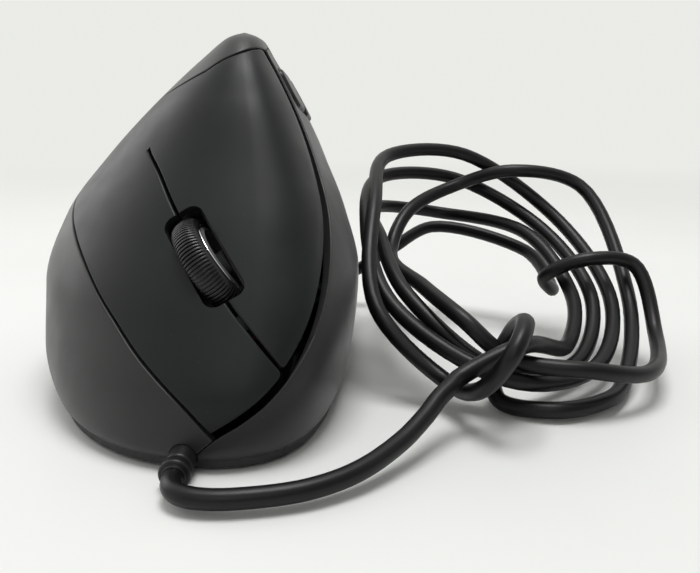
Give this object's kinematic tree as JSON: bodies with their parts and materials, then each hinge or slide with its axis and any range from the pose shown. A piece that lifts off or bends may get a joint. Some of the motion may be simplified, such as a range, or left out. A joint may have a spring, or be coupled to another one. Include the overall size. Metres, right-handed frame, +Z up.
{
  "type": "vertical ergonomic mouse",
  "caption": "Upright wedge-shaped computer mouse for the right hand, with split keys and a ribbed wheel on its finger side, thumb buttons and a bundled cord.",
  "frame": {"origin": "on the desk, below the middle of the mouse's own box, without the cord", "axes": "+Z up, the front with the keys and the cord faces -Y, the thumb side faces +X"},
  "size_m": [0.1476, 0.1706, 0.075],
  "materials": {
    "shell_plastic": "soft-touch matte black with a fine grain",
    "key_plastic": "soft-touch matte black with a fine grain",
    "button_plastic": "satin black",
    "base_plastic": "moulded matte black",
    "tyre_rubber": "ribbed matte rubber",
    "hub_plastic": "moulded dark grey",
    "ring_metal": "bright plated",
    "frame_plastic": "moulded dark grey",
    "eye_clear": "clear moulded",
    "chip_plastic": "moulded black",
    "plunger_plastic": "moulded red",
    "board_green": "lacquered board",
    "lamp_red": "tinted clear",
    "header_plastic": "moulded ivory",
    "wire_sleeve": "smooth sleeve",
    "screw_steel": "zinc plated",
    "foot_slick": "slick black film",
    "cord_rubber": "satin moulded rubber",
    "plug_steel": "nickel plated",
    "tongue_plastic": "moulded white"
  },
  "bodies": {
    "body": {"base_plate": "base_plastic", "palm_shell": "shell_plastic", "thumb_shell": "shell_plastic", "key_plate": "key_plastic", "wheel_bracket": "frame_plastic", "wheel_emitter": "eye_clear", "wheel_detector": "chip_plastic", "button_board": "board_green", "left_switch": "chip_plastic", "right_switch": "chip_plastic", "press_switch": "chip_plastic", "inner_frame": "frame_plastic", "side_board": "board_green", "back_switch": "chip_plastic", "forward_switch": "chip_plastic", "main_board": "board_green", "sensor": "chip_plastic", "sensor_lens": "eye_clear", "lamp": "lamp_red", "lamp_clip": "frame_plastic", "controller": "chip_plastic", "cable_header": "header_plastic", "board_wires": "wire_sleeve", "side_wires": "wire_sleeve", "base_screws": "screw_steel", "board_screws": "screw_steel", "glide_feet": "foot_slick", "strain_relief": "cord_rubber", "cable_lead": "cord_rubber", "cable": "cord_rubber", "cable_coil": "cord_rubber", "cable_tail": "cord_rubber", "plug_grip": "cord_rubber", "plug_shell": "plug_steel", "plug_tongue": "tongue_plastic"},
    "left_key": {"left_key": "key_plastic", "left_plunger": "plunger_plastic"},
    "right_key": {"right_key": "key_plastic", "right_plunger": "plunger_plastic"},
    "wheel_cradle": {"wheel_cradle": "hub_plastic", "press_plunger": "plunger_plastic"},
    "wheel": {"wheel_tyre": "tyre_rubber", "wheel_hub": "hub_plastic", "wheel_rings": "ring_metal"},
    "back_button": {"back_button": "button_plastic", "back_plunger": "plunger_plastic"},
    "forward_button": {"forward_button": "button_plastic", "forward_plunger": "plunger_plastic"}
  },
  "joints": [
    {"name": "left_key_press", "type": "hinge", "parent": "body", "child": "left_key", "pos_m": [-0.00035, -0.02189, 0.05843], "axis": [0.5358, 0.3591, 0.7642], "range_deg": [0, 1], "stiffness_Nm_per_rad": 1.2, "springref_deg": -0.69},
    {"name": "right_key_press", "type": "hinge", "parent": "body", "child": "right_key", "pos_m": [-0.01491, -0.02254, 0.04446], "axis": [0.7818, -0.2892, 0.5524], "range_deg": [0, 1], "stiffness_Nm_per_rad": 1.2, "springref_deg": -0.69},
    {"name": "wheel_press", "type": "hinge", "parent": "body", "child": "wheel_cradle", "pos_m": [0.00198, -0.03159, 0.03909], "axis": [0.8089, 0.0358, 0.5869], "range_deg": [0, 1.6], "stiffness_Nm_per_rad": 1.5, "springref_deg": -0.69},
    {"name": "wheel_spin", "type": "hinge", "parent": "wheel_cradle", "child": "wheel", "pos_m": [0.00848, -0.03896, 0.03058], "axis": [0.8089, 0.0358, 0.5869], "continuous": true},
    {"name": "back_button_press", "type": "slide", "parent": "body", "child": "back_button", "axis": [-0.8807, -0.0049, -0.4737], "range_m": [0, 0.0006], "stiffness_N_per_m": 1200, "springref_m": -0.0003},
    {"name": "forward_button_press", "type": "slide", "parent": "body", "child": "forward_button", "axis": [-0.8807, -0.0049, -0.4737], "range_m": [0, 0.0006], "stiffness_N_per_m": 1200, "springref_m": -0.0003}
  ]
}
